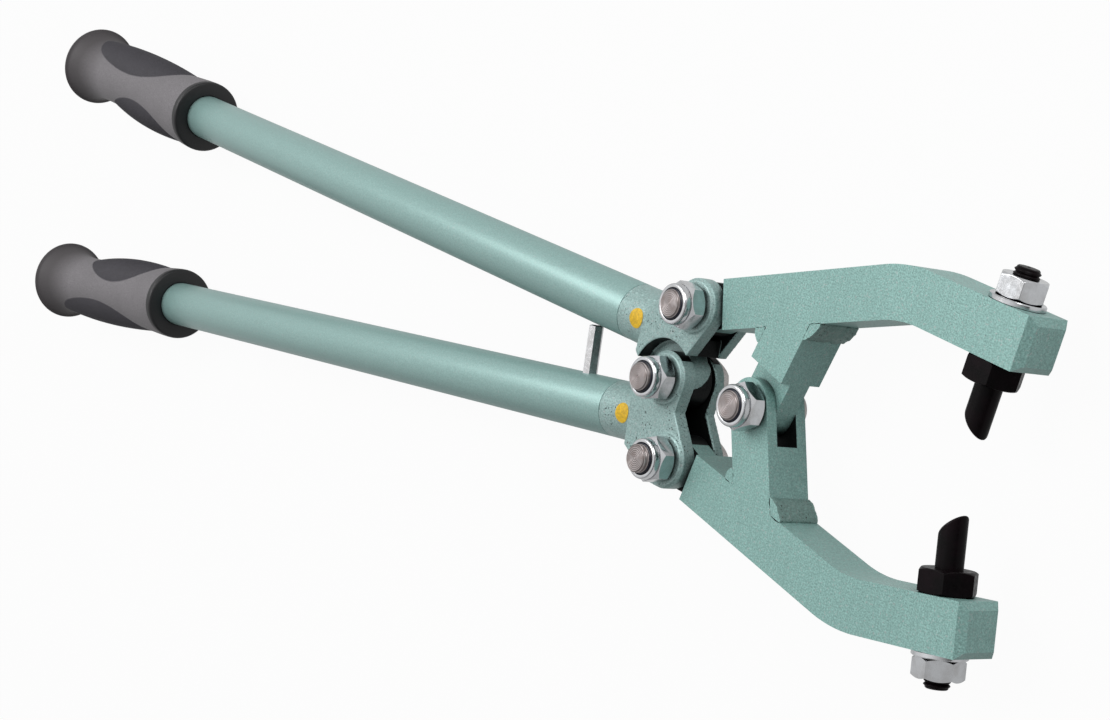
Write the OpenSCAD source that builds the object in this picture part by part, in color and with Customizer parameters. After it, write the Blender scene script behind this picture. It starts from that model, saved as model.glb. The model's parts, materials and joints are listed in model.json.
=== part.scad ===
// Sheet metal hole punch pliers: two bar jaws with opposed punches, closed by
// long tube handles through a symmetric toggle of four pivots.
// The tool lies on its side: +X runs from the grips to the punches, +Y to the
// upper jaw, and +Z up from the bench, along the pivot bolts to their nuts.
// Outlines are drawn about the handle pivot, with z = 0 in the tool's mid plane.

/* [Pivots] */
// Distance from the handle pivot to the jaw pivot
jaw_pivot_x = 50.8; // [46:0.1:56]
// Distance of the two link pivots ahead of the handle pivot
link_pivot_x = 9.3; // [8:0.1:11]
// Distance of the two link pivots from the middle line
link_pivot_y = 32.3; // [31:0.1:34]
// Running gap between a tongue and the cheek beside it
side_gap = 0.15; // [0.1:0.05:0.3]
// Radial clearance of a bolt in its bores
bore_gap = 0.05; // [0.02:0.01:0.1]
// Radial clearance in the handle tongue, which takes up the toggle's play
play_gap = 1.4; // [1.3:0.1:1.8]

/* [Jaw bars] */
// Thickness of the jaw bars along the bolts
bar_t = 21.2; // [20:0.1:24]
// Width of the jaw bars
bar_w = 20.7; // [20:0.1:22]
// Thickness of the lug's tongue at the jaw pivot
tongue_t = 10.6; // [9:0.1:12]
// Thickness of the tongues in the forks
tail_t = 10; // [9:0.1:11]
// Distance of an arm's root ahead of the handle pivot, at its middle
arm_root_x = 22.5; // [22.2:0.1:23.5]
// Distance of an arm's root from the middle line, at its middle
arm_root_y = 36; // [35:0.1:38]
// Angle at which an arm spreads from its root
arm_rise = 14.1; // [12:0.1:16]
// Angle at which an arm closes in towards its end
arm_fall = 8; // [5:0.5:10]
// Length of the arm's spreading stretch
rise_l = 97; // [90:0.1:110]
// Length of the arm's closing stretch
fall_l = 60.4; // [50:0.1:66]
// Radius of the bend along the outer edge
outer_bend_r = 62; // [50:1:80]
// Radius of the bend along the inner edge
inner_bend_r = 48; // [35:1:60]
// Chamfer round the arm's end face
end_chamfer = 2.9; // [1:0.1:4]
// Radius of the round end of an arm's tail
tail_r = 11; // [10:0.5:11.5]
// Step from the arm's edges to the tail's edges
tail_inset = 2; // [1:0.5:3]

/* [Jaw lugs] */
// Angle of a lug to the middle line
lug_angle = 70.5; // [66:0.5:76]
// Width of the lugs
lug_w = 20.4; // [19:0.1:22]
// Sideways shift of the lugs from the jaw pivot, towards the grips
lug_shift = 2; // [0:0.1:2.2]
// Distance from the jaw pivot to the step and to the slot's floor
lug_step = 16.2; // [15.5:0.1:18]
// Distance that the lugs' round ends are carried past the jaw pivot
lug_over = 2; // [1:0.1:2.5]
// Leg of the weld bead along the lug
weld_lug_leg = 7; // [3:0.5:8]
// Leg of the weld bead along the arm
weld_arm_leg = 5.5; // [5:0.1:9]

/* [Forks] */
// Distance of the forks' front faces from the forks' mid plane
cheek_front = 11.45; // [11.3:0.05:13]
// Distance of the forks' rear faces from the forks' mid plane
cheek_back = 11; // [10.5:0.05:13]
// Distance of the forks' mid plane in front of the bars' mid plane
fork_mid = 1.7; // [0:0.1:1.8]
// Gap between a fork's tongue and its rear cheek
rear_gap = 1.4; // [0.2:0.1:1.8]
// Radius of the round lobes about the pivots
lobe_r = 11.8; // [11.6:0.1:12.4]
// Radius of the raised seats under the nuts
seat_r = 10.8; // [10.6:0.1:11.4]
// Height of the raised seats
seat_h = 1; // [0.5:0.1:1.5]
// Gap between a tongue's round end and the floor of its slot
floor_gap = 2; // [1.6:0.1:2.5]
// Radius of the round cut that clears the handle pivot
clear_cut_r = 18.7; // [18:0.1:19.2]
// Distance of that cut's centre behind the handle pivot
clear_cut_back = 3; // [2:0.1:3.5]
// Distance of that cut's centre past the middle line
clear_cut_drop = 2.4; // [2:0.1:3]
// Distance of the upper fork's heel behind the handle pivot
heel_x = 20.2; // [19:0.1:22]
// Distance of the upper fork's heel from the middle line
heel_y = 5.1; // [4.5:0.1:6]
// Depth of the notch between the lower fork's lobes, short of their line
notch_out = 5.7; // [3:0.1:6]
// Distance of the notch from the handle pivot, along the lobes' line
notch_along = 14.4; // [13:0.1:17]
// Distance of the lower fork's shoulder outside its link pivot
shoulder_drop = 11.3; // [10:0.1:11.5]
// Distance of the lower fork's shoulder behind its link pivot
shoulder_back = 8; // [6:0.1:9]
// Slope of the upper fork's edge from its lobe to its toe
toe_slope = 55.7; // [50:0.1:60]
// Width of the upper fork's tongue where it leaves the fork
tongue_root_w = 26; // [22:0.5:28]

/* [Handles] */
// Angle of each handle to the middle line
handle_angle = 4.7; // [4:0.1:5.5]
// Distance of each handle's axis from the middle line at the handle pivot
handle_offset = 18.2; // [17.5:0.1:19]
// Outer diameter of the handle tubes
tube_d = 25; // [24:0.5:26]
// Wall of the handle tubes
tube_wall = 2.5; // [1.5:0.1:3.5]
// Distance of the tube's end from the handle pivot, along the handle
seam_s = 39.6; // [36:0.1:46]
// Distance along the handle where the lower fork's round shank ends in its flat body
shank_end_s = 19; // [18:0.1:19.4]
// Length of the lower fork's round shank inside its flat body
shank_sunk = 2; // [1:0.5:3]
// Distance along the handle where the upper fork's flat body ends
flat_end_s = 21.5; // [20:0.1:22.2]
// Distance along the handle where the upper fork's flat body reaches its top edge
flat_top_s = 14; // [12:0.1:16]
// Length of the fork's spigot inside the tube
spigot_l = 26; // [15:1:40]
// Radial clearance of the spigot in the tube
spigot_gap = 0.05; // [0.02:0.01:0.2]

/* [Stop pin] */
// Distance of the stop pin from the handle pivot, along the handle
stop_s = 64; // [58:0.1:80]
// Width of the stop pin across its flats
stop_af = 6; // [5:0.5:8]
// Gap between the stop pin and the upper tube in the closed pose
stop_gap = 0.3; // [0.2:0.05:0.6]
// Turn of the stop pin's flats about its axis
stop_turn = 12; // [0:1:59]
// Chamfer on the stop pin's head
stop_chamfer = 0.6; // [0.2:0.1:1]

/* [Grips] */
// Distance of the grip's collar from the handle pivot, along the handle
grip_start_s = 461.5; // [440:0.5:500]
// Length of the grip from its collar to its end
grip_l = 159; // [140:1:190]
// Diameter of the flange at the grip's end
flange_d = 48; // [44:0.2:52]
// Diameter of the collar
collar_d = 41.4; // [38:0.2:44]
// Diameter of the grip at its neck
neck_d = 34; // [31:0.5:36]
// Diameter over the pads at their fullest
pad_d = 43; // [41:0.5:45]
// Rounding of the flange's rim
rim_r = 2; // [1.5:0.5:4]
// Thickness of the black collar
collar_t = 4; // [3:0.5:6]
// Tilt of the grips outwards from the tubes
grip_tilt = 0.6; // [0:0.1:1]
// Distance by which the lower grip sits nearer the pivot than the upper one
lower_grip_near = 6.5; // [0:0.5:8]
// Distance of the pads' axes from the grip's axis
pad_offset = 6; // [4:0.5:8]
// Distance from the collar to the fullest place of the outer pad
outer_pad_mid = 84; // [70:1:90]
// Distance from the collar to the fullest place of the inner pad
inner_pad_mid = 53; // [50:1:70]
// Radius of the outer pad's long curve
outer_bow_r = 700; // [500:10:900]
// Radius of the inner pad's long curve
inner_bow_r = 370; // [340:10:600]
// Turn of the inner pad about the grip, towards the nuts' side
inner_pad_turn = 10; // [0:1:15]
// Length over which the pads are formed
pad_reach_l = 140; // [134:1:150]
// Depth of the pads in the grip
pad_depth = 1.6; // [1:0.1:2]
// Thickness of the grip's closed end behind the tube
grip_floor = 5; // [3:0.5:8]
// Clearance of the grip on the tube, at each side
grip_gap = 0.05; // [0.02:0.01:0.2]

/* [Pivot bolts] */
// Diameter of the pivot bolts
bolt_d = 12; // [11:0.5:12.5]
// Width across flats of the lock nuts
bolt_af = 17.5; // [17.2:0.1:19]
// Gap left between a lock nut and its seat, so that the pivot turns freely
nut_gap = 1.2; // [0:0.1:1.5]
// Height of the lock nuts over their nylon ring
lock_nut_h = 10.8; // [10:0.1:13]
// Height of the lock nuts' hexagon
lock_hex_h = 7.2; // [6:0.1:8.5]
// Outer diameter of the lock nuts' crown
crown_d = 17; // [16.4:0.1:17.2]
// Opening in the lock nuts' crown
crown_hole_d = 13.2; // [12.8:0.1:14]
// Diameter of the nylon ring
nylon_d = 15; // [14.4:0.1:15.6]
// Thickness of the crown's lip over the nylon ring
lip_t = 0.8; // [0.5:0.1:1.2]
// Chamfer on the ends of the bolts
bolt_chamfer = 0.7; // [0.4:0.1:1.2]
// Height of the pivot bolts' low heads
head_h = 5.3; // [3:0.1:6]
// Turn of the bolt heads' flats
head_turn = 30; // [0:1:59]
// Diameter of the jaw pivot bolt's low round head
jaw_head_d = 16; // [14:0.5:18]
// Height of the jaw pivot bolt's head
jaw_head_h = 2; // [1.5:0.1:3]
// Turn of the nut at the handle pivot
handle_nut_turn = 14; // [0:1:59]
// Turn of the nut at the upper link pivot
upper_link_nut_turn = 48; // [0:1:59]
// Turn of the nut at the lower link pivot
lower_link_nut_turn = 22; // [0:1:59]
// Turn of the nut at the jaw pivot
jaw_nut_turn = 27; // [0:1:59]
// Length of bolt past the nut at the handle pivot
handle_bolt_out = 2.1; // [1:0.1:5]
// Length of bolt past the nut at the upper link pivot
upper_bolt_out = 1.4; // [1:0.1:5]
// Length of bolt past the nut at the lower link pivot
lower_bolt_out = 3.2; // [1:0.1:5]
// Length of bolt past the nut at the jaw pivot
jaw_bolt_out = 1.4; // [1:0.1:5]
// Clearance between a thread and its nut, at each side
thread_gap = 0.02; // [0.01:0.01:0.05]

/* [Punches] */
// Distance of the punches from the arms' end faces
punch_back = 17.8; // [15:0.1:20]
// Diameter of a punch's working end
punch_d = 10.4; // [10.2:0.1:11]
// Length of a punch past its collar, to the tip
punch_l = 20.5; // [16:0.1:24]
// Length of the slanted face at the tip, along the punch
slant_l = 8.1; // [5:0.1:9]
// Diameter of a punch's threaded stud
stud_d = 9.8; // [8:0.1:9.9]
// Width across flats of a punch's collar
collar_af = 20; // [19:0.5:24]
// Height of a punch's collar
collar_h = 9.2; // [8:0.1:14]
// Width across flats of the punch nuts
punch_nut_af = 17; // [16:0.5:18]
// Height of the punch nuts
punch_nut_h = 8.2; // [7:0.1:10]
// Diameter of the washers
washer_d = 20.9; // [20:0.1:21]
// Thickness of the washers
washer_t = 2; // [1.5:0.1:2.5]
// Chamfer on the punches' collars
collar_chamfer = 1.2; // [0.5:0.1:2]
// Turn of the punches' collars about the punches
collar_turn = 57; // [0:1:59]
// Turn of the upper punch nut
upper_nut_turn = 51; // [0:1:59]
// Turn of the lower punch nut
lower_nut_turn = 18; // [0:1:59]
// Length of stud past the punch nut
stud_out = 3.3; // [1:0.1:5]

/* [Paint marks] */
// Diameter of the round paint marks on the forks
mark_d = 8.6; // [6:0.1:10]
// Distance of the upper mark from the handle pivot, along the handle
upper_mark_s = 26.6; // [24:0.1:30]
// Distance of the lower mark from the handle pivot, along the handle
lower_mark_s = 23.8; // [23.6:0.1:30]
// Thickness of the paint marks
mark_t = 0.12; // [0.08:0.01:0.2]

/* [Hidden] */
$fn = 72;
// Overrun of every cut past the solid that it cuts
over = 1;

green = [0.50, 0.68, 0.63];
dark_green = [0.42, 0.60, 0.56];
grip_grey = [0.46, 0.44, 0.45];
pad_grey = [0.24, 0.23, 0.25];
black = [0.07, 0.07, 0.08];
zinc = [0.74, 0.75, 0.77];
steel = [0.58, 0.57, 0.57];
blackened = [0.13, 0.11, 0.11];
nylon = [0.10, 0.12, 0.20];
yellow = [0.88, 0.72, 0.05];

tube_r = tube_d / 2;
bolt_r = bolt_d / 2;
bar_half = bar_t / 2;
// Depth that the forks' straight edges end inside their round lobes
edge_sunk = 0.05;
slot_half = tongue_t / 2 + side_gap;
p_handle = [0, 0];
p_link = [link_pivot_x, link_pivot_y];
p_low_link = [link_pivot_x, -link_pivot_y];
p_jaw = [jaw_pivot_x, 0];

// Grip profile along the handle, from the collar's face to the round rim
low_grip_s = grip_start_s - lower_grip_near;
flange_r = flange_d / 2;
collar_r = collar_d / 2;
neck_r = neck_d / 2;
rim_s = grip_start_s + grip_l - rim_r;

// Place of the bounding box, which the part's origin follows
grip_lean = handle_angle + grip_tilt;
rim_at = grip_start_s * dir(handle_angle) + (rim_s - grip_start_s) * dir(grip_lean);
x_back = rim_at[0] + (flange_r - rim_r) * sin(grip_lean) + rim_r;
arm_bend = [arm_root_x, arm_root_y] + rise_l * dir(arm_rise);
arm_end = arm_bend + fall_l * dir(-arm_fall);
x_front = arm_end[0] + (bar_w / 2 - end_chamfer) * sin(arm_fall);
x_shift = (x_back - x_front) / 2;
y_shift = -lower_grip_near * sin(handle_angle) / 2;
z_shift = max(flange_r, cheek_front + fork_mid + seat_h);

function dir(a) = [cos(a), sin(a)];
function left(a) = [-sin(a), cos(a)];
function dot(a, b) = a[0] * b[0] + a[1] * b[1];
function cross2(a, b) = a[0] * b[1] - a[1] * b[0];
// Point where the line through p along d meets the line through q along e
function meet(p, d, q, e) = p + d * cross2(q - p, e) / cross2(d, e);
function arc(c, r, a, b, n) = [for (i = [0:n]) c + r * dir(a + (b - a) * i / n)];
// Point on a handle at distance s from the pivot and r outside its axis
function on_axis(s, r) = [0, handle_offset] - s * dir(-handle_angle) + r * left(-handle_angle);
function low(p) = [p[0], -p[1]];

module place() {
    translate([x_shift, y_shift, z_shift]) children();
}

// Lower pieces mirror the upper ones
module flip() {
    mirror([0, 1, 0]) children();
}

module slab(half) {
    translate([0, 0, -half]) linear_extrude(2 * half) children();
}

module hole(p, r, half) {
    translate([p[0], p[1], -half - over]) cylinder(r = r, h = 2 * half + 2 * over);
}

// The forks' mid plane, which carries their cheeks and the tongues in them
module fork_frame() {
    translate([0, 0, fork_mid]) children();
}

module fork_slab() {
    translate([0, 0, -cheek_back]) linear_extrude(cheek_front + cheek_back) children();
}

// Slot round a fork's tongue: it runs close to the front cheek
module fork_slot() {
    back = tail_t / 2 + rear_gap;
    translate([0, 0, -back]) linear_extrude(back + tail_t / 2 + side_gap) children();
}

module hex_body(af, h, chamfer) {
    corner_r = af / sqrt(3);
    intersection() {
        cylinder(r = corner_r, h = h, $fn = 6);
        rotate_extrude()
            polygon([[0, 0], [af / 2, 0], [corner_r, chamfer], [corner_r, h - chamfer],
                [af / 2, h], [0, h]]);
    }
}

// Jaws

function offset_bend(side) = meet([arm_root_x, arm_root_y] + side * bar_w / 2 * left(arm_rise),
    dir(arm_rise), arm_end + side * bar_w / 2 * left(-arm_fall), dir(-arm_fall));

// Centre of an arc of radius r that rounds the bend's corner c on one edge
function bend_centre(c, r) = c - r / cos((arm_rise + arm_fall) / 2)
    * left((arm_rise - arm_fall) / 2);

module arm_outline() {
    root = [arm_root_x, arm_root_y];
    half = bar_w / 2;
    n = 14;
    outer = arc(bend_centre(offset_bend(1), outer_bend_r), outer_bend_r,
        90 + arm_rise, 90 - arm_fall, n);
    inner = arc(bend_centre(offset_bend(-1), inner_bend_r), inner_bend_r,
        90 - arm_fall, 90 + arm_rise, n);
    face = half - end_chamfer;
    back = arm_end - end_chamfer * dir(-arm_fall);
    polygon(concat([root - half * left(arm_rise), root + half * left(arm_rise)], outer,
        [back + half * left(-arm_fall), arm_end + face * left(-arm_fall),
        arm_end - face * left(-arm_fall), back - half * left(-arm_fall)], inner));
}

module tail_outline() {
    root = [arm_root_x, arm_root_y];
    half = bar_w / 2 - tail_inset;
    inner_root = root + tail_inset * dir(arm_rise);
    reach = inner_root - p_link;
    a = atan2(reach[1], reach[0]);
    translate(p_link) circle(r = tail_r);
    polygon([p_link + tail_r * left(a), p_link - tail_r * left(a),
        root - half * left(arm_rise), inner_root - half * left(arm_rise),
        inner_root + half * left(arm_rise), root + half * left(arm_rise)]);
}

module punch_frame() {
    c = arm_end - punch_back * dir(-arm_fall);
    translate([c[0], c[1], 0]) rotate([0, 0, -arm_fall]) rotate([90, 0, 0]) children();
}

module end_chamfers() {
    for (side = [-1, 1])
        translate([arm_end[0], arm_end[1], side * bar_half]) rotate([0, 0, -arm_fall])
            rotate([0, 45, 0])
                cube([end_chamfer * sqrt(2), 2 * bar_w, end_chamfer * sqrt(2)], center = true);
}

module jaw_arm() {
    difference() {
        union() {
            slab(bar_half) arm_outline();
            fork_frame() slab(tail_t / 2) tail_outline();
        }
        hole(p_link, bolt_r + bore_gap, bar_half);
        end_chamfers();
        punch_frame() translate([0, 0, -bar_w])
            cylinder(r = stud_d / 2 + bore_gap, h = 2 * bar_w);
    }
}

// Lug edges run along lug_angle; side 1 is the edge nearer the grips
function lug_edge(side) = p_jaw + (side * lug_w / 2 + lug_shift) * left(lug_angle);
function lug_top(side) = meet(lug_edge(side), dir(lug_angle),
    [arm_root_x, arm_root_y] - bar_w / 2 * left(arm_rise), dir(arm_rise));
function lug_at(side, s) = lug_edge(side) + s * dir(lug_angle);

module lug_outline(start) {
    polygon([lug_at(1, start), lug_at(-1, start), lug_top(-1), lug_top(1)]);
}

module lug_end_outline() {
    polygon([lug_at(1, -lug_over), lug_at(-1, -lug_over), lug_at(-1, lug_step + over),
        lug_at(1, lug_step + over)]);
    translate(p_jaw + lug_shift * left(lug_angle) - lug_over * dir(lug_angle))
        circle(r = lug_w / 2);
}

module tongue_lug() {
    difference() {
        union() {
            slab(bar_half) lug_outline(lug_step);
            slab(tongue_t / 2) lug_end_outline();
        }
        hole(p_jaw, bolt_r + bore_gap, bar_half);
    }
}

module clevis_lug() {
    difference() {
        slab(bar_half) {
            lug_outline(0);
            lug_end_outline();
        }
        slab(slot_half) polygon([lug_at(1, lug_step) + over * left(lug_angle),
            lug_at(-1, lug_step) - over * left(lug_angle),
            lug_at(-1, -lug_w) - over * left(lug_angle),
            lug_at(1, -lug_w) + over * left(lug_angle)]);
        hole(p_jaw, bolt_r + bore_gap, bar_half);
    }
}

// Convex beads in the corners between lug and arm; side -1 is the jaw's side
weld_bulge_share = 0.12;

module weld_bead(side) {
    corner = lug_top(side);
    foot = corner - weld_lug_leg * dir(lug_angle);
    toe = corner - side * weld_arm_leg * dir(arm_rise);
    chord = side * (foot - toe);
    chord_l = norm(chord);
    bulge = chord_l * weld_bulge_share;
    r = (chord_l * chord_l / 4 + bulge * bulge) / (2 * bulge);
    a = atan2(chord[1], chord[0]);
    c = (foot + toe) / 2 + (r - bulge) * left(a);
    half_a = asin(chord_l / 2 / r);
    slab(bar_half) polygon(concat([corner], arc(c, r, a - 90 - half_a, a - 90 + half_a, 8)));
}

// Forks

// Round shank and spigot of a fork, from start_s along the handle
module shank(start_s) {
    handle_frame() translate([0, 0, start_s]) {
        cylinder(r = tube_r, h = seam_s - start_s);
        cylinder(r = tube_r - tube_wall - spigot_gap, h = seam_s - start_s + spigot_l);
    }
}

module seat(p) {
    translate([p[0], p[1], -cheek_back])
        cylinder(r = seat_r, h = cheek_back + cheek_front + seat_h);
}

module clear_cut() {
    translate([-clear_cut_back, -clear_cut_drop]) circle(r = clear_cut_r);
}

module upper_fork_outline() {
    top = on_axis(flat_top_s, tube_r);
    slope = atan2(p_link[1] - top[1], p_link[0] - top[0])
        + asin(lobe_r / norm(p_link - top));
    toe = p_link - lobe_r * left(toe_slope);
    polygon([p_link + lobe_r * left(slope), top, on_axis(flat_end_s, tube_r / 2),
        on_axis(flat_end_s, -tube_r), [-heel_x, heel_y],
        [-clear_cut_back, 0], toe - link_pivot_y / 2 * dir(toe_slope), toe]);
    translate(p_link) circle(r = lobe_r);
}

// Handle tongue between the lower fork's cheeks, about the handle pivot
module handle_tongue_outline() {
    root_s = clear_cut_r;
    a = 180 - handle_angle;
    base = on_axis(root_s, 0) + tongue_root_w / 2 * dir(a);
    neck = atan2(base[1], base[0]);
    circle(r = tail_r);
    difference() {
        polygon([tail_r * left(neck), -tail_r * left(neck), on_axis(0, 0),
            on_axis(tube_r / 2, tube_r / 2), on_axis(root_s, tube_r / 2),
            on_axis(flat_end_s, -tube_r / 2)]);
        translate(p_link) circle(r = tail_r + floor_gap);
    }
}

module upper_fork_shape() {
    difference() {
        union() {
            difference() {
                union() {
                    fork_frame() fork_slab() upper_fork_outline();
                    fork_frame() seat(p_link);
                    shank(flat_top_s);
                }
                fork_frame() slab(cheek_front + cheek_back) clear_cut();
                fork_frame() fork_slot() union() {
                    translate(p_link) circle(r = tail_r + floor_gap);
                    polygon([p_link + (tail_r + floor_gap) * left(arm_rise),
                        p_link - (tail_r + floor_gap) * dir(90),
                        [link_pivot_x, 0], [jaw_pivot_x, 0],
                        [jaw_pivot_x, link_pivot_y + bar_w],
                        p_link + [0, bar_w]]);
                }
            }
            fork_frame() slab(tail_t / 2) handle_tongue_outline();
        }
        fork_frame() hole(p_link, bolt_r + bore_gap, cheek_front + cheek_back);
        fork_frame() hole(p_handle, bolt_r + play_gap, cheek_front);
    }
}

module lower_fork_outline() {
    top = low(on_axis(shank_end_s, -tube_r));
    bottom = low(on_axis(shank_end_s, tube_r));
    slope = atan2(-top[1], -top[0]) + asin(lobe_r / norm(top));
    line = (p_low_link - p_handle) / norm(p_low_link - p_handle);
    notch = p_handle + notch_along * line + notch_out * [-line[1], line[0]];
    circle(r = lobe_r);
    translate(p_low_link) circle(r = lobe_r);
    polygon([top, (lobe_r - edge_sunk) * left(slope), p_handle + lobe_r * dir(0), notch,
        p_low_link + lobe_r * dir(40), p_low_link - lobe_r * left(0),
        p_low_link - [shoulder_back, shoulder_drop], bottom]);
}

module lower_fork_shape() {
    floor_r = tail_r + floor_gap;
    difference() {
        union() {
            fork_frame() fork_slab() lower_fork_outline();
            fork_frame() for (p = [p_handle, p_low_link]) seat(p);
            flip() shank(shank_end_s - shank_sunk);
        }
        fork_frame() fork_slot() union() {
            circle(r = floor_r);
            translate(p_low_link) circle(r = floor_r);
            polygon([[-floor_r - floor_gap, 0], p_low_link - [floor_r, 0],
                p_low_link - [floor_r, bar_w], [jaw_pivot_x, -link_pivot_y - bar_w],
                [jaw_pivot_x, bar_w], [-floor_r - floor_gap, bar_w]]);
        }
        fork_frame() for (p = [p_handle, p_low_link])
            hole(p, bolt_r + bore_gap, cheek_front + cheek_back);
    }
}

// Handles

// Along the handle from its root: +z runs to the grip, +x is the side away
// from the middle line
module handle_frame() {
    translate([0, handle_offset, 0]) rotate([0, 0, 90 - handle_angle]) rotate([-90, 0, 0])
        children();
}

module tube_shape(start_s) {
    l = start_s + grip_l - grip_floor - seam_s;
    handle_frame() translate([0, 0, seam_s]) difference() {
        cylinder(r = tube_r, h = l);
        translate([0, 0, -over]) cylinder(r = tube_r - tube_wall, h = l + 2 * over);
    }
}

stop_base = low(on_axis(stop_s, 0));
stop_half_w = stop_af / sqrt(3);
stop_l = (dot(stop_base - [0, handle_offset], -left(-handle_angle)) - tube_r
    - stop_half_w * sin(2 * handle_angle) - stop_gap) / cos(2 * handle_angle);

module stop_frame() {
    translate([stop_base[0], stop_base[1], 0]) rotate([0, 0, handle_angle])
        rotate([-90, 0, 0]) rotate([0, 0, stop_turn]) children();
}

module stop_shape() {
    start = tube_r - tube_wall;
    stop_frame() translate([0, 0, start]) intersection() {
        cylinder(r = stop_half_w, h = stop_l - start, $fn = 6);
        rotate_extrude() polygon([[0, 0], [stop_half_w, 0],
            [stop_half_w, stop_l - start - stop_chamfer],
            [stop_half_w - 2 * stop_chamfer, stop_l - start], [0, stop_l - start]]);
    }
}

module lower_tube_shape() {
    difference() {
        flip() tube_shape(low_grip_s);
        stop_frame() cylinder(r = stop_half_w + spigot_gap, h = stop_l, $fn = 6);
    }
}

// Along a grip from its collar's face: stations as shares of the run to the
// grip's end, and swells as shares of the step out to the collar or flange
collar_swell_share = [[0, 1], [0.05, 0.92], [0.14, 0.7], [0.3, 0.3], [0.46, 0.06]];
flange_swell_share = [[0.62, 0], [0.8, 0.03], [0.88, 0.15], [0.94, 0.4], [0.975, 0.7]];
grip_run = grip_l - collar_t;

function swell_points(table, r, grow) = [for (p = table)
    [neck_r + (r - neck_r) * p[1] + grow, collar_t + grip_run * p[0]]];

module grip_profile(grow) {
    polygon(concat([[0, collar_t]], swell_points(collar_swell_share, collar_r, grow),
        swell_points(flange_swell_share, flange_r, grow),
        arc([flange_r - rim_r, grip_l - rim_r], rim_r + grow, 0, 90, 6), [[0, grip_l + grow]]));
}

// A grip's frame: the handle's frame moved to the collar, and tilted outwards
module grip_frame(start_s) {
    handle_frame() translate([0, 0, start_s]) rotate([0, grip_tilt, 0]) children();
}

// Slender barrel whose face stands out of the grip as a pad
module pad_barrel(mid, bow_r) {
    half = asin(pad_reach_l / 2 / bow_r);
    translate([pad_offset, 0, mid]) rotate_extrude() polygon(concat([[0, -pad_reach_l / 2]],
        arc([pad_d / 2 - pad_offset - bow_r, 0], bow_r, -half, half, 10),
        [[0, pad_reach_l / 2]]));
}

module pad_barrels() {
    intersection() {
        union() {
            pad_barrel(outer_pad_mid, outer_bow_r);
            rotate([0, 0, 180 + inner_pad_turn]) pad_barrel(inner_pad_mid, inner_bow_r);
        }
        translate([0, 0, collar_t]) cylinder(r = flange_r, h = grip_l);
    }
}

module pads_shape(start_s) {
    grip_frame(start_s) difference() {
        pad_barrels();
        rotate_extrude() grip_profile(-pad_depth);
    }
}

module grip_shape(start_s) {
    difference() {
        grip_frame(start_s) difference() {
            rotate_extrude() grip_profile(0);
            difference() {
                pad_barrels();
                rotate_extrude() grip_profile(-pad_depth);
            }
        }
        tube_bore(start_s);
    }
}

module tube_bore(start_s) {
    handle_frame() cylinder(r = tube_r + grip_gap, h = start_s + grip_l - grip_floor);
}

module collar_shape(start_s) {
    difference() {
        grip_frame(start_s) rotate_extrude() polygon([[0, 0], [collar_r - collar_t / 4, 0],
            [collar_r, collar_t / 4], [collar_r, collar_t], [0, collar_t]]);
        tube_bore(start_s);
    }
}

// Fasteners, standing at a pivot; head_z and seat_z are the faces under the head and the nut

// Centre drill mark in the end of a bolt of length l
module end_dimple(l) {
    translate([0, 0, l - bolt_chamfer])
        cylinder(r1 = 0, r2 = bolt_chamfer * 2, h = bolt_chamfer * 2);
}

module pivot_bolt(p, head_z, seat_z, out) {
    l = seat_z - head_z + nut_gap + lock_nut_h + out;
    translate([p[0], p[1], head_z]) {
        children();
        difference() {
            rotate_extrude() polygon([[0, -bolt_chamfer], [bolt_r, -bolt_chamfer],
                [bolt_r, l - bolt_chamfer], [bolt_r - bolt_chamfer, l], [0, l]]);
            end_dimple(l);
        }
    }
}

module hex_head() {
    translate([0, 0, -head_h]) rotate([0, 0, head_turn])
        hex_body(bolt_af, head_h, bolt_chamfer * 2);
}

// Low round head, bevelled like the bolt's end
module round_head() {
    head_r = jaw_head_d / 2;
    rotate_extrude() polygon([[0, 0], [head_r, 0], [head_r, bolt_chamfer - jaw_head_h],
        [head_r - bolt_chamfer, -jaw_head_h], [0, -jaw_head_h]]);
}

module lock_nut(p, seat_z, turn) {
    inner = bolt_r + thread_gap;
    ring_z = lock_hex_h + lip_t;
    translate([p[0], p[1], seat_z + nut_gap]) rotate([0, 0, turn]) difference() {
        union() {
            hex_body(bolt_af, lock_hex_h, bolt_chamfer * 2);
            rotate_extrude() polygon(concat([[0, lock_hex_h - over], [crown_d / 2, lock_hex_h - over]],
                arc([crown_d / 2 - lip_t * 2, lock_nut_h - lip_t * 2], lip_t * 2, 0, 90, 6),
                [[0, lock_nut_h]]));
        }
        translate([0, 0, -over]) cylinder(r = inner, h = lock_nut_h + 2 * over);
        translate([0, 0, ring_z]) cylinder(r = nylon_d / 2, h = lock_nut_h - lip_t - ring_z);
        translate([0, 0, ring_z]) cylinder(r = crown_hole_d / 2, h = lock_nut_h);
    }
}

module nylon_ring(p, seat_z) {
    ring_z = lock_hex_h + lip_t;
    translate([p[0], p[1], seat_z + nut_gap + ring_z]) difference() {
        cylinder(r = nylon_d / 2 - thread_gap, h = lock_nut_h - lip_t - ring_z - thread_gap);
        translate([0, 0, -over])
            cylinder(r = bolt_r + thread_gap, h = lock_nut_h + 2 * over);
    }
}

// Punches

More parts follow.
